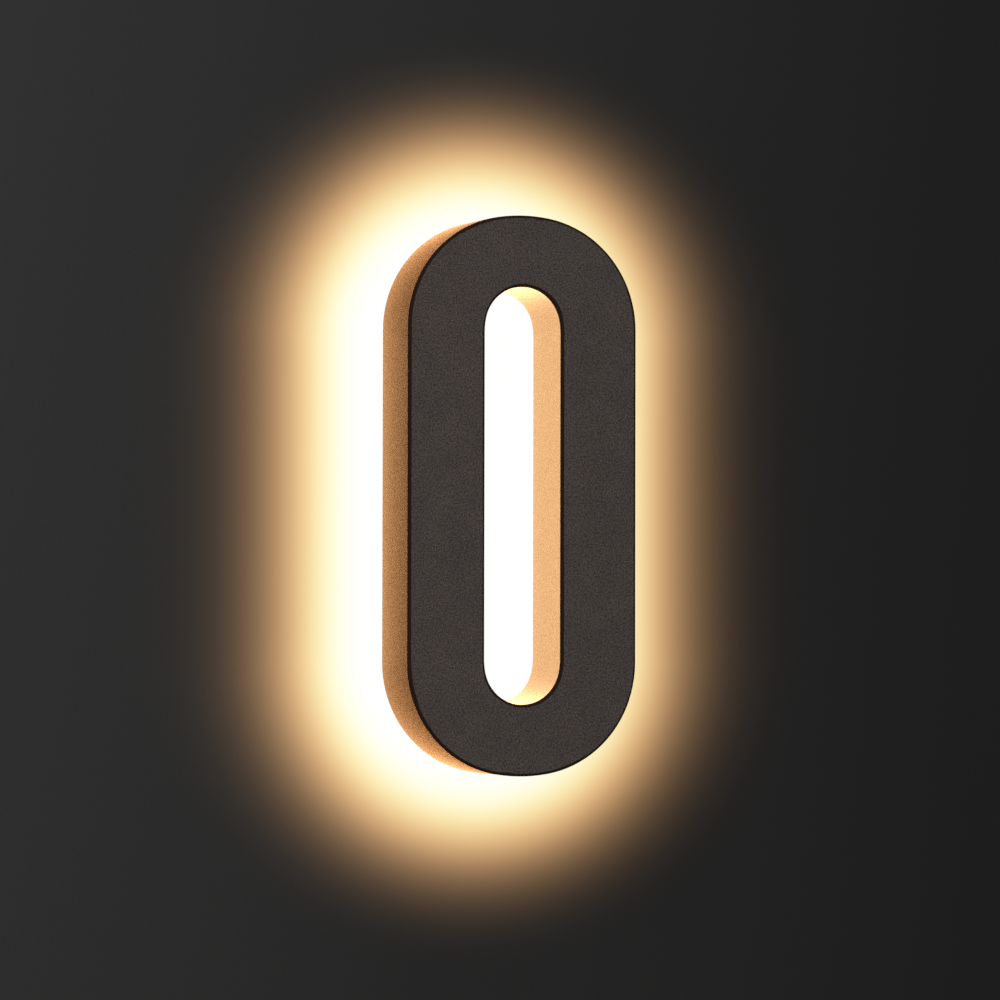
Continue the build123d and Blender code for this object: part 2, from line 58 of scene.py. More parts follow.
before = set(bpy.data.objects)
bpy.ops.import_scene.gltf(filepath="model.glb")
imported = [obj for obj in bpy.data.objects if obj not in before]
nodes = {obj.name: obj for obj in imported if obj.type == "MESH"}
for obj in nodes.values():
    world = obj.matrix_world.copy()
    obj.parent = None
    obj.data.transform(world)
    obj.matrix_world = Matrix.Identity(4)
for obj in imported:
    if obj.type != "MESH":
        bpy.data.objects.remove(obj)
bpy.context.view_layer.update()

# %% [markdown]
# ## Colours and nodes
#
# A colour is easiest to choose as the hex value that a screen shows, which is sRGB. Shaders add up
# light, so they need it linear, and one function converts it. Nodes could be added and linked one
# line at a time. A finish is easier to read as calls of one function that take each other's
# results, so that what flows into a node stands inside its brackets.

# %% From a screen's colour to a shader's
def linear(hex_colour):
    """The linear RGBA of an sRGB colour such as "3c3937"."""
    parts = [int(hex_colour[i : i + 2], 16) / 255 for i in (0, 2, 4)]
    light = [c / 12.92 if c <= 0.04045 else ((c + 0.055) / 1.055) ** 2.4 for c in parts]
    return (*light, 1.0)


print("white", linear("ffffff"), "mid grey", [round(c, 3) for c in linear("808080")])


# %% Nodes and links
# A Mix node has sockets for every type of data. These are its two colours and the colour it gives.
FIRST_COLOUR, SECOND_COLOUR, MIXED_COLOUR = 6, 7, 2


def fill(tree, node, inputs):
    """Fills a node's inputs, by name or number. A node among the values is linked by its first
    output and a socket as it is. A list holds several things that go into one socket."""
    for socket, value in inputs.items():
        for part in value if isinstance(value, list) else [value]:
            if isinstance(part, bpy.types.Node):
                part = part.outputs[0]
            if isinstance(part, bpy.types.NodeSocket):
                tree.links.new(part, node.inputs[socket])
            else:
                node.inputs[socket].default_value = part


def add_node(tree, kind, inputs=(), **settings):
    """Adds a node with its settings. The inputs are in the order of the node's sockets, or they
    are named as fill() takes them."""
    node = tree.nodes.new(kind)
    for name, value in settings.items():
        setattr(node, name, value)
    fill(tree, node, inputs if isinstance(inputs, dict) else dict(enumerate(inputs)))
    return node


def new_material(name, constants=None):
    """A material with one Principled BSDF, and the constants on that shader's own sockets."""
    material = bpy.data.materials.new(name)
    material.use_nodes = True
    shader = material.node_tree.nodes["Principled BSDF"]
    fill(material.node_tree, shader, constants or {})
    return material, material.node_tree, shader


def per_mm(size):
    """Scale of a texture whose features are to be size millimetres."""
    return 1 / (size * MM)


print("scale of a texture of 1 mm", per_mm(1))

# %% [markdown]
# ## The stroke of the 0
#
# On the real sign the LEDs and the copper tracks follow the middle line of the digit's stroke, two
# straight stems joined by half circles, and so does the light. A curve could be drawn along it and
# measured to, but a pattern that runs round the 0 needs only the distance from that line. A few
# Math nodes work it out at any point, and it stays sharp at any size.

# %% Middle line of the stroke
inner_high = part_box("inner_return")[1]
outer_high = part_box("outer_return")[1]
STROKE_MIDDLE = (outer_high.x + inner_high.x) / 2
STEM_HALF = (outer_high.z + inner_high.z) / 2 - STROKE_MIDDLE
STROKE_HALF = (outer_high.x - inner_high.x) / 2
print("stroke middle mm", round(STROKE_MIDDLE / MM, 2), "stem half mm", round(STEM_HALF / MM, 2))


# %% Distances from the middle line
def stroke_distances(tree, shift=(0, 0, 0)):
    """Distances in metres from the nearest and the farthest stretch of the middle line, how far a
    point lies round an end (0 beside a stem, 1 straight above or below), and 1 outside the line."""
    place = add_node(tree, "ShaderNodeTexCoord").outputs["Object"]
    place = add_node(tree, "ShaderNodeVectorMath", (place, shift), operation="SUBTRACT")
    x, y, z = add_node(tree, "ShaderNodeSeparateXYZ", (place,)).outputs
    height = add_node(tree, "ShaderNodeMath", (z,), operation="ABSOLUTE")
    past_stem = add_node(tree, "ShaderNodeMath", (height, STEM_HALF), operation="SUBTRACT")
    past_stem = add_node(tree, "ShaderNodeMath", (past_stem, 0.0), operation="MAXIMUM")
    flat = add_node(tree, "ShaderNodeCombineXYZ", (x, past_stem))
    from_axis = add_node(tree, "ShaderNodeVectorMath", (flat,), operation="LENGTH").outputs["Value"]
    sides = (from_axis, STROKE_MIDDLE)
    offset = add_node(tree, "ShaderNodeMath", sides, operation="SUBTRACT")
    near = add_node(tree, "ShaderNodeMath", (offset,), operation="ABSOLUTE")
    far = add_node(tree, "ShaderNodeMath", sides, operation="ADD")
    farther = add_node(tree, "ShaderNodeMath", sides, operation="MAXIMUM")
    round_end = add_node(tree, "ShaderNodeMath", (past_stem, farther), operation="DIVIDE")
    outside = add_node(tree, "ShaderNodeMath", sides, operation="GREATER_THAN")
    return near, far, round_end, outside


print("stroke half mm", round(STROKE_HALF / MM, 2))

# %% [markdown]
# ## Fine-texture powder coat
#
# The shell is sheet steel with a polyester powder coat, in the fine-texture kind that outdoor
# metalwork has. The powder doesn't flow out flat: it dries as low round grains. Face on, that
# gives an even, almost black grey with a slight speckle. Seen along the surface, the sides of the
# grains mirror what lies behind the number, so the walls take the colour of the glow. The grains
# could be geometry, but they are far lower than a pixel, so a noise texture gives their height and
# colour. Real grains are about 0.4 mm across, and these are a little coarser so that they show.

# %% Grains of the coat
# Noise stays near 0.5, so a grain rises between a value below that and one above it.
GRAIN = 0.55
GRAIN_FOOT, GRAIN_TOP = 0.35, 0.68
CLOUD = 9.0
CLOUD_FOOT, CLOUD_TOP = 0.3, 0.7
CLOUD_SPREAD = 0.07


def coat_grains(tree, tone, speck):
    """Height of the grains, how far a point is up the side of one, and the colour: the tone
    between grains, the speck on them, and clouds a few percent lighter and darker."""
    place = add_node(tree, "ShaderNodeTexCoord").outputs["Object"]
    height = add_node(
        tree,
        "ShaderNodeTexNoise",
        {"Vector": place, "Scale": per_mm(GRAIN), "Detail": 3.0, "Roughness": 0.6},
    )
    up = add_node(
        tree, "ShaderNodeMapRange", {"Value": height, "From Min": GRAIN_FOOT, "From Max": GRAIN_TOP}
    )
    colour = add_node(
        tree,
        "ShaderNodeMix",
        {"Factor": up, FIRST_COLOUR: linear(tone), SECOND_COLOUR: linear(speck)},
        data_type="RGBA",
    ).outputs[MIXED_COLOUR]
    cloud = add_node(
        tree, "ShaderNodeTexNoise", {"Vector": place, "Scale": per_mm(CLOUD), "Detail": 3.0}
    )
    lightness = add_node(
        tree,
        "ShaderNodeMapRange",
        {"Value": cloud, "From Min": CLOUD_FOOT, "From Max": CLOUD_TOP,
         "To Min": 1 - CLOUD_SPREAD, "To Max": 1 + CLOUD_SPREAD},
    )
    colour = add_node(
        tree, "ShaderNodeVectorMath", {0: colour, "Scale": lightness}, operation="SCALE"
    )
    return height, up, colour


print("grains of", GRAIN, "mm in clouds of", CLOUD, "mm")

# %% Coat of the walls
# Fairly glossy between the grains and glossier on them, which gives the eye a soft, sparkling image
# of the lit wall behind.
WALL_GRAIN_HEIGHT = 0.07 * MM
ROUGH_BETWEEN, ROUGH_ON_GRAIN = 0.36, 0.18

coat_walls, tree, shader = new_material(
    "anthracite_powder_coat_walls", {"Specular IOR Level": 0.5}
)
# The tone and speck are warmer than on the face: the same dark grey coat with a painted amber cast
# of the glow
height, up, colour = coat_grains(tree, tone="1d1510", speck="45372c")
dull = add_node(
    tree, "ShaderNodeMapRange", {"Value": up, "To Min": ROUGH_BETWEEN, "To Max": ROUGH_ON_GRAIN}
)
bump = add_node(
    tree, "ShaderNodeBump", {"Height": height, "Strength": 1.0, "Distance": WALL_GRAIN_HEIGHT}
)
fill(tree, shader, {"Base Color": colour, "Roughness": dull, "Normal": bump})
print(coat_walls.name)

# %% Coat of the face
# Matt, with grains that show as a fine speckle. The rounded edge turns away from the light, and a
# painted shade with a brown cast of the glow makes it a nearly black line round the face.
FACE_GRAIN_HEIGHT = 0.05 * MM
FLAT, TURNED_AWAY = -0.9995, -0.97
ROUGH_FACE, ROUGH_EDGE = 0.55, 0.95
EDGE_PAINTED_SHADE = linear("1a0b03")

coat_face, tree, shader = new_material(
    "anthracite_powder_coat_face", {"Specular IOR Level": 0.15}
)
height, up, colour = coat_grains(tree, tone="1f1b1a", speck="4a4340")
facing = add_node(tree, "ShaderNodeTexCoord").outputs["Normal"]
facing = add_node(tree, "ShaderNodeSeparateXYZ", (facing,)).outputs["Y"]
edge = add_node(
    tree,
    "ShaderNodeMapRange",
    {"Value": facing, "From Min": FLAT, "From Max": TURNED_AWAY},
    interpolation_type="SMOOTHSTEP",
)
# Painted shade on the rounded edge: a near-black brown where the face turns away from the light
colour = add_node(
    tree,
    "ShaderNodeMix",
    {"Factor": edge, FIRST_COLOUR: colour, SECOND_COLOUR: EDGE_PAINTED_SHADE},
    data_type="RGBA",
).outputs[MIXED_COLOUR]
dull = add_node(
    tree, "ShaderNodeMapRange", {"Value": edge, "To Min": ROUGH_FACE, "To Max": ROUGH_EDGE}
)
bump = add_node(
    tree, "ShaderNodeBump", {"Height": height, "Strength": 1.0, "Distance": FACE_GRAIN_HEIGHT}
)
fill(tree, shader, {"Base Color": colour, "Roughness": dull, "Normal": bump})
print(coat_face.name)

# %% [markdown]
# ## The small parts' finishes
#
# Behind the shell everything is off-the-shelf: silicone, rubber, turned aluminium, stainless
# screws, moulded housings. Each shows how it was made: turned metal has fine rings round its axis,
# rubber is dull with a faint bloom, and moulded plastic has the soft grain of its spark-eroded
# mould. Each could have a tree of its own, but they differ only in numbers, so one function makes
# them all: a colour and a gloss that vary a little with a noise, and its bump.

# %% A finish for moulded, drawn or turned stock
# Noise drawn out along X and Z leaves rings across Y, the axis that spacers and pillars turn on.
RINGS = (0.06, 1.0, 0.06)
GLOSS_SPREAD = 0.07


def plain_finish(name, tone, rough, grain, height, metal=0.0, spread=0.06, turned=False):
    """A finish with a grain of that size and height in mm. The colour varies by the spread."""
    material, tree, shader = new_material(name, {"Metallic": metal})
    place = add_node(tree, "ShaderNodeTexCoord").outputs["Object"]
    if turned:
        place = add_node(tree, "ShaderNodeVectorMath", (place, RINGS), operation="MULTIPLY")
    noise = add_node(
        tree, "ShaderNodeTexNoise", {"Vector": place, "Scale": per_mm(grain), "Detail": 3.0}
    )
    lightness = add_node(
        tree,
        "ShaderNodeMapRange",
        {"Value": noise, "To Min": 1 - spread, "To Max": 1 + spread},
    )
    colour = add_node(
        tree,
        "ShaderNodeVectorMath",
        {0: linear(tone)[:3], "Scale": lightness},
        operation="SCALE",
    )
    dull = add_node(
        tree,
        "ShaderNodeMapRange",
        {"Value": noise, "To Min": rough - GLOSS_SPREAD, "To Max": rough + GLOSS_SPREAD},
    )
    bump = add_node(
        tree, "ShaderNodeBump", {"Height": noise, "Strength": 1.0, "Distance": height * MM}
    )
    fill(tree, shader, {"Base Color": colour, "Roughness": dull, "Normal": bump})
    return material, tree, shader


finishes = {"coat_walls": coat_walls, "coat_face": coat_face}
print("gloss varies by", GLOSS_SPREAD)

# %% Metals
METALS = {
    # Cold-formed and tumbled A2 steel: a grey mirror, softened by many fine scuffs
    "stainless_steel": dict(tone="a8a6a2", rough=0.30, grain=0.25, height=0.006),
    # Turned or milled bar: pale, with the tool's rings, which draw out its highlights
    "turned_aluminium": dict(tone="c9cacb", rough=0.36, grain=0.30, height=0.02, turned=True),
    # Turned hexagon bar, bright from the lathe: a warm yellow with fine rings
    "brass": dict(tone="c9a35c", rough=0.30, grain=0.25, height=0.012, turned=True),
    # Copper strip dipped in tin: a warm silver, slightly uneven where the tin set
    "tinned_copper": dict(tone="c4c2bd", rough=0.28, grain=0.40, height=0.012),
    # Drawn can: the smoothest metal here, with only a breath of drawing marks
    "capacitor_can": dict(tone="c6c7c9", rough=0.28, grain=0.30, height=0.004),
}
for name, values in METALS.items():
    finishes[name] = plain_finish(name, metal=1.0, **values)[0]
print(len(METALS), "metals")

# %% Rubbers, plastics and ceramic
MOULDED = {
    # Pressed EPDM: dull black, greyed by bloom
    "epdm_rubber": dict(tone="1c1c1d", rough=0.75, grain=0.45, height=0.03),
    # Extruded silicone: milky and half matt, with long soft waves
    "silicone": dict(tone="d6d2c8", rough=0.45, grain=0.60, height=0.01),
    # Reflector plastic of the LEDs: clean white, slightly warm
    "white_moulding": dict(tone="f0ede4", rough=0.40, grain=0.30, height=0.006),
    # Glass-filled black plastic: a fine grain that greys its highlights
    "black_moulding": dict(tone="1b1b1c", rough=0.50, grain=0.30, height=0.012),
    # Fired ceramic under a glass coat: nearly black, with a clear, small highlight
    "chip_ceramic": dict(tone="26262a", rough=0.35, grain=0.20, height=0.006),
    # Polyamide from a spark-eroded mould: an even, waxy grey-green
    "terminal_polyamide": dict(tone="3f5348", rough=0.48, grain=0.35, height=0.012),
}
for name, values in MOULDED.items():
    finishes[name] = plain_finish(name, **values)[0]
print(len(MOULDED), "rubbers, plastics and ceramic")

# %% [markdown]
# ## Opal panel and phosphor
#
# The panel that the light leaves by is cast acrylic with a milk-white filler, which hides the LEDs
# behind it as one even glow. Real light could be traced through it, but that takes a great many
# samples to become smooth. The panel glows by itself here, in the warm white of its LEDs, about
# 2700 K, and less near its edges, which are farther from them. The phosphor in each LED glows too.

# %% Opal panel
WARM_WHITE = linear("ffcb95")
OPAL_GLOW = 0.5
OPAL_GLOW_AT_EDGE = 0.6

# Cast opal acrylic: satin and milky, with slow waves in its surface
opal, tree, shader = plain_finish(
    "opal_acrylic", tone="efe9dd", rough=0.32, grain=1.5, height=0.004, spread=0.02
)
near = stroke_distances(tree)[0]
evenness = add_node(
    tree,
    "ShaderNodeMapRange",
    {"Value": near, "From Max": STROKE_HALF, "To Min": 1.0, "To Max": OPAL_GLOW_AT_EDGE},
    interpolation_type="SMOOTHSTEP",
)
shining = add_node(
    tree, "ShaderNodeVectorMath", {0: WARM_WHITE[:3], "Scale": evenness}, operation="SCALE"
)
fill(tree, shader, {"Emission Color": shining, "Emission Strength": OPAL_GLOW})
finishes["opal_acrylic"] = opal
print("opal glows at", OPAL_GLOW)

# %% Phosphor
# Yellow powder in clear silicone: a lit, warm dot in each white housing
phosphor, tree, shader = plain_finish(
    "led_phosphor", tone="f2d27a", rough=0.35, grain=0.2, height=0.004, spread=0.03
)
fill(tree, shader, {"Emission Color": WARM_WHITE, "Emission Strength": 1.0})
finishes["led_phosphor"] = phosphor
print(phosphor.name)

# %% [markdown]
# ## Circuit board
#
# A board for LEDs has a white solder mask over its copper tracks. The tracks run round the 0 and
# show through the mask as flat, slightly yellower ridges. They could be geometry, but they are as
# thin as paper, so the distance from the stroke's middle line, folded back and forth by a Ping-
# Pong node, gives a row of parallel tracks. Real ones are 0.035 mm high, and these are twice that
# so that they show.

# %% White solder mask over copper tracks
TRACK_PITCH = 3.2 * MM
TRACK_HALF = 0.55 * MM
TRACK_SHOULDER = 0.1 * MM
TRACK_HEIGHT = 0.07 * MM
OVER_COPPER = linear("d9d5c3")

# Printed and cured ink: satin white, a little yellower where copper lies under it
mask, tree, shader = plain_finish(
    "white_solder_mask", tone="e6e6e0", rough=0.38, grain=0.5, height=0.006, spread=0.02
)
between = (stroke_distances(tree)[0], TRACK_PITCH / 2)
from_track = add_node(tree, "ShaderNodeMath", between, operation="PINGPONG")
track = add_node(
    tree,
    "ShaderNodeMapRange",
    {"Value": from_track, "From Min": TRACK_HALF, "From Max": TRACK_HALF + TRACK_SHOULDER,
     "To Min": 1.0, "To Max": 0.0},
)
ink, grain = (shader.inputs[socket].links[0].from_socket for socket in ("Base Color", "Normal"))
over_copper = add_node(
    tree,
    "ShaderNodeMix",
    {"Factor": track, FIRST_COLOUR: ink, SECOND_COLOUR: OVER_COPPER},
    data_type="RGBA",
).outputs[MIXED_COLOUR]
raised = add_node(
    tree, "ShaderNodeBump", {"Height": track, "Distance": TRACK_HEIGHT, "Normal": grain}
)
fill(tree, shader, {"Base Color": over_copper, "Normal": raised})
finishes["board_mask"] = mask
print("tracks every", round(TRACK_PITCH / MM, 1), "mm")

# %% [markdown]
# ## Trees that grow small parts
#
# Two small parts are plainer in the construction than on the bench: its wall screws have no
# thread, and its resistors are bare blocks. They could be modelled once and copied in edit mode.
# As both repeat, a Geometry Nodes tree builds one and puts it on every spot. Each of its sizes is a
# named input, so that it is changed in one place. The result is turned into a plain mesh.

# %% A tree with named inputs
def new_tree(name, lengths, **others):
    """A tree with a Geometry input, one Float input for each of lengths, and others by type.
    Returns the tree and the sockets that its inputs arrive on."""
    tree = bpy.data.node_groups.new(name, "GeometryNodeTree")
    kinds = {"Geometry": "Geometry", **{label: "Float" for label in lengths}, **others}
    for label, kind in kinds.items():
        tree.interface.new_socket(label, in_out="INPUT", socket_type="NodeSocket" + kind)
    tree.interface.new_socket("Geometry", in_out="OUTPUT", socket_type="NodeSocketGeometry")
    return tree, tree.nodes.new("NodeGroupInput").outputs


def put_on_every_spot(tree, given, part, rotation=(0, 0, 0)):
    """Ends a tree: the part on each spot, as real geometry, with its material."""
    spread = add_node(
        tree,
        "GeometryNodeInstanceOnPoints",
        {"Points": given["Geometry"], "Instance": part, "Rotation": rotation},
    )
    real = add_node(tree, "GeometryNodeRealizeInstances", (spread,))
    painted = add_node(
        tree, "GeometryNodeSetMaterial", {"Geometry": real, "Material": given["Material"]}
    )
    add_node(tree, "NodeGroupOutput", (painted,))


print("trees so far", len(bpy.data.node_groups))


# %% From a tree to a plain mesh
def grow(name, tree, spots, turns=None, **sizes):
    """A plain mesh object from what the tree grows on the spots. An input of the tree is named in
    small letters, with underscores. Its value is set by the socket's identifier."""
    seed_mesh = bpy.data.meshes.new(name + "_spots")
    seed_mesh.from_pydata(spots, [], [])
    if turns:
        seed_mesh.attributes.new("turn", "FLOAT", "POINT").data.foreach_set("value", turns)
    seed = bpy.data.objects.new(name + "_spots", seed_mesh)
    bpy.context.scene.collection.objects.link(seed)
    modifier = seed.modifiers.new("grow", "NODES")
    modifier.node_group = tree
    for item in tree.interface.items_tree:
        key = item.name.lower().replace(" ", "_")
        if item.in_out == "INPUT" and key in sizes:
            modifier[item.identifier] = sizes[key]
    evaluated = seed.evaluated_get(bpy.context.evaluated_depsgraph_get())
    mesh = bpy.data.meshes.new_from_object(evaluated)
    mesh.name = name
    mesh.materials.clear()
    mesh.materials.append(sizes["material"])
    made = bpy.data.objects.new(name, mesh)
    bpy.context.scene.collection.objects.link(made)
    seed.modifiers.remove(modifier)
    bpy.data.objects.remove(seed)
    print(name, "faces", len(mesh.polygons))
    return made


# %% [markdown]
# ## Wall screws
#
# A wall screw has a sharp thread for a plug, rolled onto stainless wire, so its crest stands a
# little above the plain shank and its core lies below it. A thread could be a profile swept along
# a helix, but its ends are hard to close neatly. This tree starts from a closed cylinder with many
# rings instead: a point's angle and its distance along the screw give its place in the turn of the
# thread, and so its radius. A sphere flattened on one side makes the pan head, and two bars cut
# its recess.

# %% Inputs of the screw
screw_tree, given = new_tree(
    "threaded_screws",
    ["Seat", "Thread Start", "Point Start", "Tip", "Pitch", "Shank Radius", "Thread Radius",
     "Core Radius", "Head Radius", "Head Height", "Recess Span", "Recess Width", "Recess Depth"],
    Rings="Int",
    Material="Material",
)
print("inputs", len(given) - 1)

# %% A rod that knows how far along the screw it is
SCREW_SIDES = 24


def along_screw(tree, rings, start, end):
    """A cylinder of radius 1, and for its points x, y, distance along the screw and the angle, in
    turns."""
    rod = add_node(
        tree,
        "GeometryNodeMeshCylinder",
        {"Vertices": SCREW_SIDES, "Side Segments": rings, "Radius": 1.0, "Depth": 1.0},
    )
    x, y, z = add_node(
        tree, "ShaderNodeSeparateXYZ", (add_node(tree, "GeometryNodeInputPosition"),)
    ).outputs
    reach = add_node(tree, "ShaderNodeMath", (end, start), operation="SUBTRACT")
    share = add_node(tree, "ShaderNodeMath", (z, 0.5), operation="ADD")
    distance = add_node(tree, "ShaderNodeMath", (share, reach, start), operation="MULTIPLY_ADD")
    angle = add_node(tree, "ShaderNodeMath", (y, x), operation="ARCTAN2")
    turn = add_node(tree, "ShaderNodeMath", (angle, math.tau), operation="DIVIDE")
    return rod, x, y, distance, turn


def lay_along_y(tree, rod, x, y, radius, distance):
    """The rod with its axis along Y, at each point's own radius and distance."""
    across = add_node(tree, "ShaderNodeMath", (x, radius), operation="MULTIPLY")
    down = add_node(tree, "ShaderNodeMath", (y, radius), operation="MULTIPLY")
    up = add_node(tree, "ShaderNodeMath", (down, -1.0), operation="MULTIPLY")
    point = add_node(tree, "ShaderNodeCombineXYZ", (across, distance, up))
    return add_node(tree, "GeometryNodeSetPosition", {"Geometry": rod, "Position": point})


print("sides", SCREW_SIDES)

# %% Rolled thread
# The flank is how steeply the radius falls from the crest, in thread heights for each turn. The
# thread grows to its full height over its first turn, and the point tapers to almost nothing.
THREAD_FLANK = 3.2
TIP_SHARE = 0.03

tree = screw_tree
rod, x, y, distance, turn = along_screw(tree, given["Rings"], given["Thread Start"], given["Tip"])
threaded = add_node(
    tree, "ShaderNodeMath", (distance, given["Thread Start"]), operation="SUBTRACT"
)
turns_done = add_node(tree, "ShaderNodeMath", (threaded, given["Pitch"]), operation="DIVIDE")
phase = add_node(tree, "ShaderNodeMath", (turns_done, turn), operation="SUBTRACT")
phase = add_node(tree, "ShaderNodeMath", (phase,), operation="FRACT")
from_crest = add_node(tree, "ShaderNodeMath", (phase, 0.5), operation="SUBTRACT")
from_crest = add_node(tree, "ShaderNodeMath", (from_crest,), operation="ABSOLUTE")
crest = add_node(
    tree, "ShaderNodeMath", (from_crest, -THREAD_FLANK, 1.0), operation="MULTIPLY_ADD"
)
crest = add_node(tree, "ShaderNodeMath", (crest, 0.0), operation="MAXIMUM")
run_in = add_node(tree, "ShaderNodeMath", (turns_done, 1.0), operation="MINIMUM")
crest = add_node(tree, "ShaderNodeMath", (crest, run_in), operation="MULTIPLY")
thread_height = add_node(
    tree, "ShaderNodeMath", (given["Thread Radius"], given["Core Radius"]), operation="SUBTRACT"
)
radius = add_node(
    tree,
    "ShaderNodeMath",
    (crest, thread_height, given["Core Radius"]),
    operation="MULTIPLY_ADD",
)
narrowing = add_node(
    tree,
    "ShaderNodeMapRange",
    {"Value": distance, "From Min": given["Point Start"], "From Max": given["Tip"], "To Min": 1.0,
     "To Max": TIP_SHARE},
)
radius = add_node(tree, "ShaderNodeMath", (radius, narrowing), operation="MULTIPLY")
thread = lay_along_y(tree, rod, x, y, radius, distance)
print("nodes with the thread", len(tree.nodes))

# %% Plain shank
rod, x, y, distance, turn = along_screw(tree, 1, given["Seat"], given["Thread Start"])
shank = lay_along_y(tree, rod, x, y, given["Shank Radius"], distance)
print("nodes with the shank", len(tree.nodes))

# %% Pan head
# The dome's height is the root of 1 - r^4, which is flatter on top and rounder at the rim than a
# ball. The far half of the sphere is pressed flat onto the seat.
HEAD_SIDES, HEAD_RINGS = 40, 24
HEAD_ROUNDNESS = 4.0
HALF_WAY = 0.001

ball = add_node(
    tree, "GeometryNodeMeshUVSphere", {"Segments": HEAD_SIDES, "Rings": HEAD_RINGS, "Radius": 1.0}
)
x, y, z = add_node(
    tree, "ShaderNodeSeparateXYZ", (add_node(tree, "GeometryNodeInputPosition"),)
).outputs
y_squared = add_node(tree, "ShaderNodeMath", (y, y), operation="MULTIPLY")
from_axis = add_node(tree, "ShaderNodeMath", (x, x, y_squared), operation="MULTIPLY_ADD")
from_axis = add_node(tree, "ShaderNodeMath", (from_axis,), operation="SQRT")
from_axis = add_node(tree, "ShaderNodeMath", (from_axis, 1.0), operation="MINIMUM")
fall = add_node(tree, "ShaderNodeMath", (from_axis, HEAD_ROUNDNESS), operation="POWER")
rise = add_node(tree, "ShaderNodeMath", (1.0, fall), operation="SUBTRACT")
rise = add_node(tree, "ShaderNodeMath", (rise,), operation="SQRT")
front = add_node(tree, "ShaderNodeMath", (z, HALF_WAY), operation="GREATER_THAN")
rise = add_node(tree, "ShaderNodeMath", (rise, front), operation="MULTIPLY")
rise = add_node(tree, "ShaderNodeMath", (rise, given["Head Height"]), operation="MULTIPLY")
across = add_node(tree, "ShaderNodeMath", (x, given["Head Radius"]), operation="MULTIPLY")
along = add_node(tree, "ShaderNodeMath", (given["Seat"], rise), operation="SUBTRACT")
up = add_node(tree, "ShaderNodeMath", (y, given["Head Radius"]), operation="MULTIPLY")
point = add_node(tree, "ShaderNodeCombineXYZ", (across, along, up))
head = add_node(tree, "GeometryNodeSetPosition", {"Geometry": ball, "Position": point})
print("nodes with the head", len(tree.nodes))

# %% Cross recess
top = add_node(
    tree, "ShaderNodeMath", (given["Seat"], given["Head Height"]), operation="SUBTRACT"
)
top = add_node(tree, "ShaderNodeCombineXYZ", (0.0, top, 0.0))
depth = add_node(tree, "ShaderNodeMath", (given["Recess Depth"], 2.0), operation="MULTIPLY")
bars = []
for wide, high in (("Recess Span", "Recess Width"), ("Recess Width", "Recess Span")):
    size = add_node(tree, "ShaderNodeCombineXYZ", (given[wide], depth, given[high]))
    bar = add_node(tree, "GeometryNodeMeshCube", {"Size": size})
    bars.append(add_node(tree, "GeometryNodeTransform", {"Geometry": bar, "Translation": top}))
recessed = add_node(
    tree, "GeometryNodeMeshBoolean", {"Mesh 1": head, "Mesh 2": bars}, operation="DIFFERENCE"
)
print("bars that cut the recess", len(bars))

# %% Whole screw, with crisp edges
HARD_EDGE = math.radians(35)

screw = add_node(tree, "GeometryNodeJoinGeometry", {"Geometry": [recessed, shank, thread]})
smooth = add_node(tree, "GeometryNodeSetShadeSmooth", {"Geometry": screw}, domain="FACE")
bend = add_node(tree, "GeometryNodeInputMeshEdgeAngle")
hard = add_node(tree, "ShaderNodeMath", (bend, HARD_EDGE), operation="GREATER_THAN")
crisp = add_node(
    tree,
    "GeometryNodeSetShadeSmooth",
    {"Geometry": smooth, "Selection": hard, "Shade Smooth": False},
    domain="EDGE",
)
put_on_every_spot(tree, given, crisp)
print("nodes of the screw", len(tree.nodes))

# %% Wall screws in place
# The wall's face is at 0 along Y, so the thread starts 1 mm in front of it.
THREAD_PITCH = 1.4 * MM
THREAD_START = -1.0 * MM
POINT_LENGTH = 4.0 * MM
HEAD_RADIUS = 4.0 * MM
RINGS_PER_TURN = 8

screws_low, screws_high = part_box("wall_screws")
head_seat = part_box("wall_washers")[0].y
screw_x = screws_high.x - HEAD_RADIUS
screw_z = screws_high.z - HEAD_RADIUS
threaded_screws = grow(
    "threaded_wall_screws",
    screw_tree,
    [(x, 0, z) for x in (-screw_x, screw_x) for z in (-screw_z, screw_z)],
    seat=head_seat,
    thread_start=THREAD_START,
    point_start=screws_high.y - POINT_LENGTH,
    tip=screws_high.y,
    pitch=THREAD_PITCH,
    shank_radius=1.75 * MM,
    thread_radius=2.0 * MM,
    core_radius=1.35 * MM,
    head_radius=HEAD_RADIUS,
    head_height=head_seat - screws_low.y,
    recess_span=4.4 * MM,
    recess_width=1.0 * MM,
    recess_depth=1.4 * MM,
    rings=round((screws_high.y - THREAD_START) / THREAD_PITCH * RINGS_PER_TURN),
    material=finishes["stainless_steel"],
)
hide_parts("wall_screws")
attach(threaded_screws, "cassette")

# %% [markdown]
# ## Chip resistors
#
# A chip resistor is a flat block of ceramic with a dark glass coat, wrapped at both ends in tinned
# metal and held by a sloping fillet of solder at each end. One mesh with two materials would show
# the same, but a piece has one finish here. So one tree makes either the body or the two ends, as
# a switch says. The spots and the turns are measured on the plain blocks of the construction.

# %% Inputs of the resistor
chip_tree, given = new_tree(
    "capped_chips",
    ["Length", "Height", "Width", "Cap Length", "Skin", "Solder Reach"],
    Ends="Bool",
    Material="Material",
)
print("inputs", len(given) - 1)


# %% Ceramic body
def chip_block(tree, size, shift=(0, 0, 0)):
    """A block of the chip, from its sizes along X, Y and Z, moved along X."""
    sides = add_node(tree, "ShaderNodeCombineXYZ", size)
    made = add_node(tree, "GeometryNodeMeshCube", {"Size": sides})
    return add_node(tree, "GeometryNodeTransform", {"Geometry": made, "Translation": shift})


tree = chip_tree
body_size = [
    add_node(tree, "ShaderNodeMath", (given[side], given["Skin"]), operation="SUBTRACT")
    for side in ("Length", "Height", "Width")
]
body = chip_block(tree, body_size)
print("nodes with the body", len(tree.nodes))

# %% Tinned cap and solder at each end
SOLDER_LOW_SHARE = 0.85

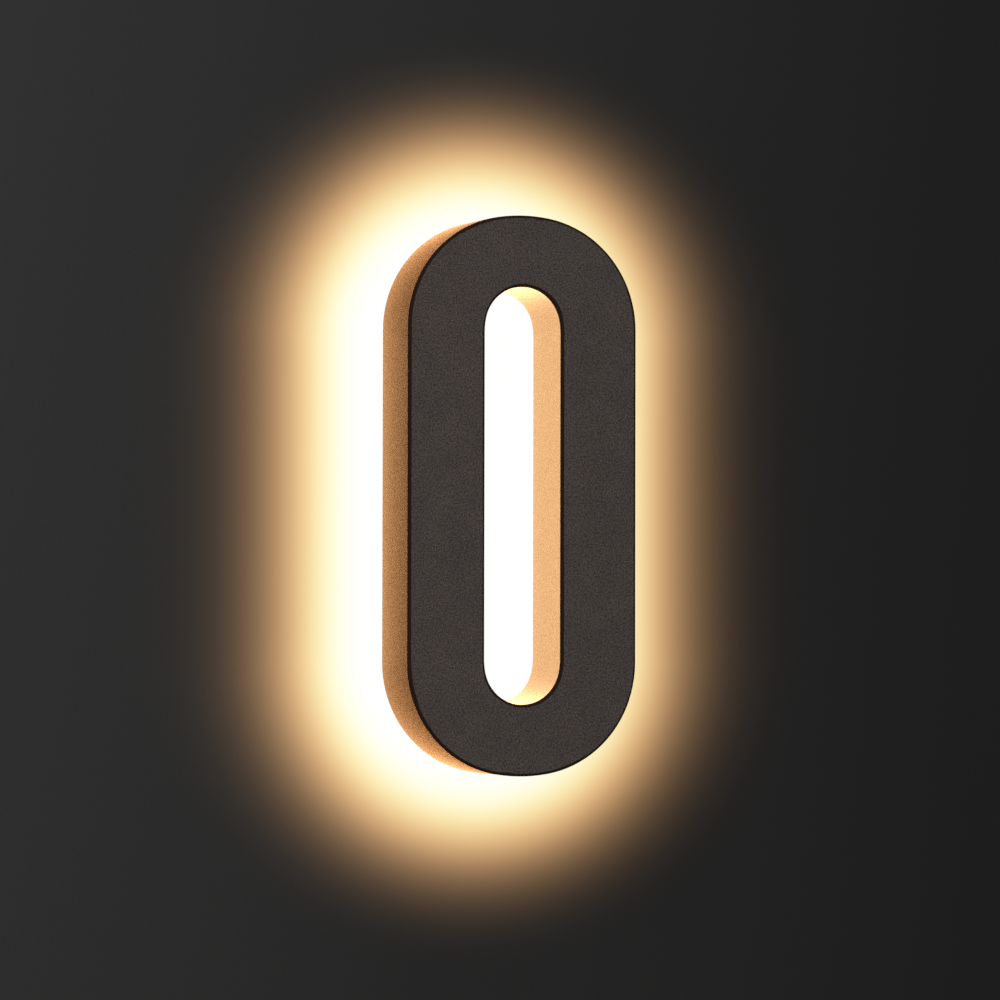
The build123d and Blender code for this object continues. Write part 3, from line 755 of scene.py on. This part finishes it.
ends = []
for side in (-0.5, 0.5):
    middle = add_node(
        tree, "ShaderNodeMath", (given["Length"], given["Cap Length"]), operation="SUBTRACT"
    )
    middle = add_node(tree, "ShaderNodeMath", (middle, side), operation="MULTIPLY")
    shift = add_node(tree, "ShaderNodeCombineXYZ", (middle,))
    ends.append(chip_block(tree, (given["Cap Length"], given["Height"], given["Width"]), shift))

    # The fillet starts as a block beside the cap, and its outer front edge comes down
    middle = add_node(
        tree, "ShaderNodeMath", (given["Length"], given["Solder Reach"]), operation="ADD"
    )
    middle = add_node(tree, "ShaderNodeMath", (middle, side), operation="MULTIPLY")
    shift = add_node(tree, "ShaderNodeCombineXYZ", (middle,))
    fillet_size = (given["Solder Reach"], given["Height"], given["Width"])
    fillet = chip_block(tree, fillet_size, shift)
    x, y, z = add_node(
        tree, "ShaderNodeSeparateXYZ", (add_node(tree, "GeometryNodeInputPosition"),)
    ).outputs
    beyond = add_node(tree, "ShaderNodeMath", (x, middle), operation="SUBTRACT")
    beyond = add_node(tree, "ShaderNodeMath", (beyond, side), operation="MULTIPLY")
    outer = add_node(tree, "ShaderNodeMath", (beyond, 0.0), operation="GREATER_THAN")
    front = add_node(tree, "ShaderNodeMath", (y, 0.0), operation="LESS_THAN")
    low_edge = add_node(tree, "ShaderNodeMath", (outer, front), operation="MULTIPLY")
    drop = add_node(
        tree, "ShaderNodeMath", (given["Height"], SOLDER_LOW_SHARE), operation="MULTIPLY"
    )
    drop = add_node(tree, "ShaderNodeCombineXYZ", (0.0, drop, 0.0))
    ends.append(
        add_node(
            tree,
            "GeometryNodeSetPosition",
            {"Geometry": fillet, "Selection": low_edge, "Offset": drop},
        )
    )
print("pieces at the ends", len(ends))

# %% Body or ends
both_ends = add_node(tree, "GeometryNodeJoinGeometry", {"Geometry": ends})
chosen = add_node(
    tree,
    "GeometryNodeSwitch",
    {"Switch": given["Ends"], "False": body, "True": both_ends},
    input_type="GEOMETRY",
)
turn = add_node(tree, "GeometryNodeInputNamedAttribute", {"Name": "turn"}, data_type="FLOAT")
rotation = add_node(tree, "ShaderNodeCombineXYZ", (0.0, turn, 0.0))
put_on_every_spot(tree, given, chosen, rotation)
print("nodes of the resistor", len(tree.nodes))


# %% Spots of the plain blocks
SAME_PLACE = 0.001 * MM


def loose_boxes(name):
    """Middle, turn about Y and size along X, Y and Z of every separate box of a node."""
    merged = bmesh.new()
    merged.from_mesh(nodes[name].data)
    bmesh.ops.remove_doubles(merged, verts=merged.verts, dist=SAME_PLACE)
    found, boxes = set(), []
    for first in merged.verts:
        if first in found:
            continue
        found.add(first)
        box = [first]
        # The list grows while it is read, until it holds every corner of the box
        for corner in box:
            for edge in corner.link_edges:
                other = edge.other_vert(corner)
                if other not in found:
                    found.add(other)
                    box.append(other)
        middle = sum((v.co for v in box), Vector()) / len(box)
        low_y, high_y = min(v.co.y for v in box), max(v.co.y for v in box)
        flat = [v for v in box if v.co.y - low_y < SAME_PLACE]
        sides = sorted((v.co - flat[0].co for v in flat[1:]), key=lambda side: side.length)
        turn = -math.atan2(sides[1].z, sides[1].x)
        boxes.append((middle, turn, (sides[1].length, high_y - low_y, sides[0].length)))
    merged.free()
    return boxes


chips = loose_boxes("resistors")
print(len(chips), "resistors of mm", [round(v / MM, 2) for v in chips[0][2]])

# %% Resistors in place
chip_length, chip_height, chip_width = chips[0][2]
for name, ends_only, finish, slot in (
    ("resistor_bodies", False, "chip_ceramic", "resistor_ceramic"),
    ("resistor_ends", True, "tinned_copper", "tinned_copper"),
):
    piece = grow(
        name,
        chip_tree,
        [middle for middle, turn, size in chips],
        [turn for middle, turn, size in chips],
        length=chip_length,
        height=chip_height,
        width=chip_width,
        cap_length=0.5 * MM,
        skin=0.06 * MM,
        solder_reach=0.45 * MM,
        ends=ends_only,
        material=finishes[finish],
    )
    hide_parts("resistors")
    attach(piece, "cassette")

# %% [markdown]
# ## Dressing the construction
#
# Every other piece of the sign has the right shape in the construction. Each could be copied and
# finished as an object of its own, but a node only needs its material and keeps its place.

# %% Nodes of each finish
DRESSED_IN = {
    "coat_face": ["face_plate"],
    "coat_walls": ["outer_return", "inner_return", "stop_tabs"],
    "opal_acrylic": ["back_panel_right", "back_panel_left"],
    "silicone": ["outer_seal", "inner_seal"],
    "epdm_rubber": ["wall_pads", "cable_grommet"],
    "turned_aluminium": ["wall_spacers", "lock_blocks"],
    "brass": ["board_pillars", "terminal_cages"],
    "stainless_steel": [
        "wall_washers", "lock_block_screws", "lock_screws", "pillar_screws", "board_screws",
        "terminal_screws",
    ],
    "board_mask": ["led_board_right", "led_board_left"],
    "white_moulding": ["led_packages"],
    "led_phosphor": ["led_phosphors"],
    "capacitor_can": ["smoothing_capacitor"],
    "black_moulding": ["protection_diode", "board_links"],
    "tinned_copper": ["link_contacts"],
    "terminal_polyamide": ["terminal_block"],
}
finish_of = {name: finish for finish, names in DRESSED_IN.items() for name in names}
for name, finish in finish_of.items():
    nodes[name].data.materials.clear()
    nodes[name].data.materials.append(finishes[finish])
print("dressed", len(finish_of), "of", len(nodes), "nodes, and 2 are replaced")

# %% [markdown]
# ## Halo on the wall
#
# The sign shines at the wall behind it, and that glow is what colours its sides. Lamps behind the
# panel could make the halo, but they would need a great many samples to be smooth. Measured on the
# photograph, the halo loses half of its strength every 8 mm, so its brightness follows a formula:
# an exponential of the distance from the middle line of the stroke, for the near and the far
# stretch of it together. The wall's paint emits it, which has no noise, and lets each kind of ray
# see as much of the glow as it needs.

# %% Strength of the halo
# It sits a hair to the right of the stroke's middle and below it, as in the photograph.
GLOW_PEAK = 31.0
GLOW_FADE_PER_MM = 0.0883
GLOW_LOSS_AT_ENDS = 0.233
GLOW_SHIFT = (0.6 * MM, 0, -0.5 * MM)

# Eggshell emulsion: flat and dark, with almost no highlight
wall_paint, tree, shader = new_material(
    "wall_paint", {"Roughness": 0.9, "Specular IOR Level": 0.1}
)
near, far, round_end, outside = stroke_distances(tree, GLOW_SHIFT)
fading = -GLOW_FADE_PER_MM / MM
glows = []
for distance in (far, near):
    faded = add_node(tree, "ShaderNodeMath", (distance, fading), operation="MULTIPLY")
    glows.append(add_node(tree, "ShaderNodeMath", (faded,), operation="EXPONENT"))
glow = add_node(tree, "ShaderNodeMath", glows, operation="ADD")
kept = add_node(
    tree, "ShaderNodeMath", (round_end, -GLOW_LOSS_AT_ENDS, 1.0), operation="MULTIPLY_ADD"
)
glow = add_node(tree, "ShaderNodeMath", (glow, kept), operation="MULTIPLY")
print("halves every mm", round(math.log(2) / GLOW_FADE_PER_MM, 1))

# %% Taper of the halo
# An exponential never ends, but the panel's light is cut off by the shell's rim, so the halo also
# tapers to nothing, sooner at the ends of the 0 than beside it.
TAPER_BESIDE = (45 * MM, 115 * MM)
TAPER_AT_ENDS = (38 * MM, 86 * MM)

limits = []
for beside, at_ends in zip(TAPER_BESIDE, TAPER_AT_ENDS):
    slope = (round_end, at_ends - beside, beside)
    limits.append(add_node(tree, "ShaderNodeMath", slope, operation="MULTIPLY_ADD"))
taper = add_node(
    tree,
    "ShaderNodeMapRange",
    {"Value": near, "From Min": limits[0], "From Max": limits[1], "To Min": GLOW_PEAK,
     "To Max": 0.0},
    interpolation_type="SMOOTHSTEP",
)
glow = add_node(tree, "ShaderNodeMath", (glow, taper), operation="MULTIPLY")
print("halo ends at mm", round(TAPER_BESIDE[1] / MM), "and", round(TAPER_AT_ENDS[1] / MM))

# %% [markdown]
# What the camera sees of the glow is bright enough to be white, and film rolls off softly towards
# white. Clipping each channel would do, but it leaves a hard yellow rim, so each channel c becomes
# c / (1 + c^n)^(1/n) instead, which follows c while it is small and never passes 1. The larger n,
# the sharper the bend.

# %% Halo as the camera sees it
WARM_GLOW = linear("ffc68a")
COUNTER_BOOST = 2.0
SHOULDER_BEND = 3.0

boost = add_node(tree, "ShaderNodeMix", {"Factor": outside, "A": COUNTER_BOOST, "B": 1.0})
bright = add_node(tree, "ShaderNodeMath", (glow, boost), operation="MULTIPLY")
full = add_node(
    tree, "ShaderNodeVectorMath", {0: WARM_GLOW[:3], "Scale": bright}, operation="SCALE"
)
channels = []
for channel in add_node(tree, "ShaderNodeSeparateXYZ", (full,)).outputs:
    raised = add_node(tree, "ShaderNodeMath", (channel, SHOULDER_BEND), operation="POWER")
    raised = add_node(tree, "ShaderNodeMath", (raised, 1.0), operation="ADD")
    shoulder = add_node(tree, "ShaderNodeMath", (raised, 1 / SHOULDER_BEND), operation="POWER")
    channels.append(add_node(tree, "ShaderNodeMath", (channel, shoulder), operation="DIVIDE"))
seen = add_node(tree, "ShaderNodeCombineXYZ", channels)
print("glow", [round(c, 3) for c in WARM_GLOW[:3]])

# %% [markdown]
# The walls of the shell mirror the glow. On the real sign most of what they mirror comes from
# beside the digit and little from right behind it, where the light heads for the wall. The panel,
# boards and shell could block those rays only if the light were traced from the LEDs, so the paint
# does it: mirrored and scattered rays feel nothing from behind the stroke, a smaller share of the
# glow farther out, and a deeper amber where it is faint. Scattered rays, which light matt surfaces,
# feel a fifth of what mirrored rays do.

# %% Halo as the shell feels it
FELT_NEAR, FELT_FAR = 18 * MM, 36 * MM
FELT_SHARE_NEAR, FELT_SHARE_FAR = 0.77, 0.22
FELT_SHARE_IN_COUNTER = 1.05
FELT_BY_MATT = 0.2
SHADED_SHARE = 0.6

beside = add_node(
    tree,
    "ShaderNodeMapRange",
    {"Value": near, "From Min": SHADED_SHARE * STROKE_HALF, "From Max": STROKE_HALF},
    interpolation_type="SMOOTHSTEP",
)
share = add_node(
    tree,
    "ShaderNodeMapRange",
    {"Value": near, "From Min": FELT_NEAR, "From Max": FELT_FAR, "To Min": FELT_SHARE_NEAR,
     "To Max": FELT_SHARE_FAR},
)
share = add_node(
    tree, "ShaderNodeMix", {"Factor": outside, "A": FELT_SHARE_IN_COUNTER, "B": share}
)
ray = add_node(tree, "ShaderNodeLightPath").outputs
matt = add_node(
    tree,
    "ShaderNodeMath",
    (ray["Is Diffuse Ray"], FELT_BY_MATT - 1, 1.0),
    operation="MULTIPLY_ADD",
)
felt = glow
for factor in (beside, matt, share):
    felt = add_node(tree, "ShaderNodeMath", (felt, factor), operation="MULTIPLY")
print("felt share", FELT_SHARE_NEAR, "to", FELT_SHARE_FAR)

# %% Amber where the glow is faint
# In the counter light comes from all sides, so the amber stays outside.
FAINT_AMBER = linear("ff9530")
FAINT, STRONG = 1.2, 7.2

strength = add_node(
    tree, "ShaderNodeMapRange", {"Value": glow, "From Min": FAINT, "From Max": STRONG}
)
strength = add_node(tree, "ShaderNodeMix", {"Factor": outside, "A": 1.0, "B": strength})
hue = add_node(
    tree,
    "ShaderNodeMix",
    {"Factor": strength, FIRST_COLOUR: FAINT_AMBER, SECOND_COLOUR: WARM_GLOW},
    data_type="RGBA",
).outputs[MIXED_COLOUR]
felt = add_node(tree, "ShaderNodeVectorMath", {0: hue, "Scale": felt}, operation="SCALE")
light = add_node(
    tree,
    "ShaderNodeMix",
    {"Factor": ray["Is Camera Ray"], FIRST_COLOUR: felt, SECOND_COLOUR: seen},
    data_type="RGBA",
).outputs[MIXED_COLOUR]
fill(tree, shader, {"Emission Color": light, "Emission Strength": 1.0})
print("amber", [round(c, 3) for c in FAINT_AMBER[:3]])

# %% [markdown]
# ## Wall and floor
#
# The photograph's wall is a dark grey, lighter on the left, and the stage takes it over, because
# the glow needs it. A lamp beside the wall could give that slope, but it would light the number
# too, so the paint has it. A view from behind has to see the back of the number. So the wall shows
# only its front and is clear from behind, and lamps shine through it.

# %% Paint of the wall
PAINT_LEFT, PAINT_RIGHT = linear("272727"), linear("191919")
PAINT_SLOPE = 200 * MM
PAINT_GRAIN = 1.2
PAINT_SPREAD = 0.15

place = add_node(tree, "ShaderNodeTexCoord").outputs["Object"]
across = add_node(tree, "ShaderNodeSeparateXYZ", (place,)).outputs["X"]
shade = add_node(
    tree, "ShaderNodeMapRange", {"Value": across, "From Min": -PAINT_SLOPE, "From Max": PAINT_SLOPE}
)
paint = add_node(
    tree,
    "ShaderNodeMix",
    {"Factor": shade, FIRST_COLOUR: PAINT_LEFT, SECOND_COLOUR: PAINT_RIGHT},
    data_type="RGBA",
).outputs[MIXED_COLOUR]
grain = add_node(
    tree, "ShaderNodeTexNoise", {"Vector": place, "Scale": per_mm(PAINT_GRAIN), "Detail": 2.0}
)
spread = (grain, 2 * PAINT_SPREAD, 1 - PAINT_SPREAD)
lightness = add_node(tree, "ShaderNodeMath", spread, operation="MULTIPLY_ADD")
paint = add_node(tree, "ShaderNodeVectorMath", {0: paint, "Scale": lightness}, operation="SCALE")
fill(tree, shader, {"Base Color": paint})

behind = add_node(tree, "ShaderNodeNewGeometry").outputs["Backfacing"]
clear = add_node(tree, "ShaderNodeMath", (behind, ray["Is Shadow Ray"]), operation="MAXIMUM")
glass = add_node(tree, "ShaderNodeBsdfTransparent")
one_sided = add_node(tree, "ShaderNodeMixShader", (clear, shader, glass))
fill(tree, tree.nodes["Material Output"], {"Surface": one_sided})
print("nodes of the wall's paint", len(tree.nodes))

# %% Paint of the floor
# Pale matt paint. The camera sees it a little lighter than the soft lamps alone would make it.
FLOOR_TONE = linear("dcdad6")
FLOOR_LIFT = 0.2

floor_paint, tree, shader = new_material(
    "floor_paint", {"Roughness": 0.8, "Base Color": FLOOR_TONE}
)
by_camera = add_node(tree, "ShaderNodeLightPath").outputs["Is Camera Ray"]
by_camera = add_node(tree, "ShaderNodeMath", (by_camera, FLOOR_LIFT), operation="MULTIPLY")
lift = add_node(
    tree, "ShaderNodeVectorMath", {0: FLOOR_TONE[:3], "Scale": by_camera}, operation="SCALE"
)
fill(tree, shader, {"Emission Color": lift, "Emission Strength": 1.0})
print(floor_paint.name)

# %% Wall and floor
WALL_HALF_WIDTH = 0.42
WALL_TOP = 0.38
FLOOR_LEVEL = -0.25
FLOOR_REACH = 3.0


def stage_sheet(name, corners, material):
    """A flat sheet of the stage, which faces the side from which its corners run anticlockwise."""
    mesh = bpy.data.meshes.new(name)
    mesh.from_pydata(corners, [], [tuple(range(len(corners)))])
    mesh.materials.append(material)
    made = bpy.data.objects.new(name, mesh)
    bpy.context.scene.collection.objects.link(made)
    made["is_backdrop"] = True
    print(name, "faces", [round(c) for c in mesh.polygons[0].normal])


stage_sheet(
    "wall",
    [
        (-WALL_HALF_WIDTH, 0, FLOOR_LEVEL),
        (WALL_HALF_WIDTH, 0, FLOOR_LEVEL),
        (WALL_HALF_WIDTH, 0, WALL_TOP),
        (-WALL_HALF_WIDTH, 0, WALL_TOP),
    ],
    wall_paint,
)
stage_sheet(
    "floor",
    [
        (-FLOOR_REACH, -FLOOR_REACH, FLOOR_LEVEL),
        (FLOOR_REACH, -FLOOR_REACH, FLOOR_LEVEL),
        (FLOOR_REACH, FLOOR_REACH, FLOOR_LEVEL),
        (-FLOOR_REACH, FLOOR_REACH, FLOOR_LEVEL),
    ],
    floor_paint,
)

# %% [markdown]
# ## Studio light
#
# A lit sign is photographed in a dim room, but the part has to be seen from all sides. One large
# soft lamp from the reader's left lights the face evenly without being mirrored in it, a second
# one fills from above, and a third lights the back. An outdoor sky would light it too, but would
# colour the coat, so a plain grey world fills the shadows.

# %% Soft lamps
LAMP_DISTANCE = 1.6


def away_from(azimuth, elevation):
    """Direction from the part. Azimuth 0 is the reader's side."""
    a, e = math.radians(azimuth), math.radians(elevation)
    return Vector((math.sin(a) * math.cos(e), -math.cos(a) * math.cos(e), math.sin(e)))


def soft_lamp(name, azimuth, elevation, size, power):
    """A square soft lamp that points at the part. Size in metres, power in watts."""
    away = away_from(azimuth, elevation)
    lamp = bpy.data.lights.new(name, "AREA")
    lamp.size = size
    lamp.energy = power
    made = bpy.data.objects.new(name, lamp)
    made.location = away * LAMP_DISTANCE
    made.rotation_euler = away.to_track_quat("Z", "Y").to_euler()
    made.visible_camera = False
    bpy.context.scene.collection.objects.link(made)


soft_lamp("key", azimuth=-34, elevation=24, size=0.9, power=24.0)
soft_lamp("top", azimuth=10, elevation=70, size=1.0, power=8.0)
soft_lamp("rear", azimuth=160, elevation=35, size=1.0, power=14.0)
print("lamps", len(bpy.data.lights))

# %% Surround
SURROUND_STRENGTH = 0.12
BACKDROP = linear("e4e3e1")

world = bpy.data.worlds.new("studio")
bpy.context.scene.world = world
world.use_nodes = True
tree = world.node_tree
surround = tree.nodes["Background"]
fill(tree, surround, {"Color": linear("ffffff"), "Strength": SURROUND_STRENGTH})
backdrop = add_node(tree, "ShaderNodeBackground", {"Color": BACKDROP, "Strength": 1.0})
by_camera = add_node(tree, "ShaderNodeLightPath").outputs["Is Camera Ray"]
sky = add_node(tree, "ShaderNodeMixShader", (by_camera, surround, backdrop))
fill(tree, tree.nodes["World Output"], {"Surface": sky})
print("surround", SURROUND_STRENGTH)

# %% [markdown]
# ## Camera
#
# The photograph was taken from the reader's left, a little below the middle of the number, with a
# long lens. The view could be matched by eye, but the outlines of the number fix it: a camera was
# fitted to them, and these are its values. It looks straight along its own direction, moved
# sideways and up so that the middle of the face falls on its place in the frame.

# %% Camera
CAMERA_AZIMUTH = -20.16
CAMERA_ELEVATION = -1.2
CAMERA_ROLL = 0.11
CAMERA_DISTANCE = 1.618
FOCAL_PIXELS = 4542
FRAME_PIXELS = 1000
FACE_MIDDLE_PIXEL = (523.66, 495.6)
SENSOR_WIDTH = 36.0
CLIP_END = 20.0

camera_data = bpy.data.cameras.new("camera")
camera_data.sensor_width = SENSOR_WIDTH
camera_data.lens = FOCAL_PIXELS / FRAME_PIXELS * SENSOR_WIDTH
camera_data.clip_end = CLIP_END
camera = bpy.data.objects.new("camera", camera_data)
bpy.context.scene.collection.objects.link(camera)
bpy.context.scene.camera = camera

back = away_from(CAMERA_AZIMUTH, CAMERA_ELEVATION)
roll = Matrix.Rotation(math.radians(CAMERA_ROLL), 3, "Z")
turned = back.to_track_quat("Z", "Y").to_matrix() @ roll
right, up = turned.col[0], turned.col[1]
metres_per_pixel = CAMERA_DISTANCE / FOCAL_PIXELS
sideways = (FACE_MIDDLE_PIXEL[0] - FRAME_PIXELS / 2) * metres_per_pixel
rise = (FRAME_PIXELS / 2 - FACE_MIDDLE_PIXEL[1]) * metres_per_pixel
face_middle = Vector((0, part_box("face_plate")[0].y, 0))
camera.location = face_middle + back * CAMERA_DISTANCE - right * sideways - up * rise
camera.rotation_euler = turned.to_euler()
print("camera at", [round(v, 3) for v in camera.location])

# %% [markdown]
# ## Finish
#
# The Standard view shows colours as they are written. The bounds of the dressed part are measured,
# without the stage.

# %% Finish
bpy.context.scene.view_settings.view_transform = "Standard"
low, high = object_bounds()
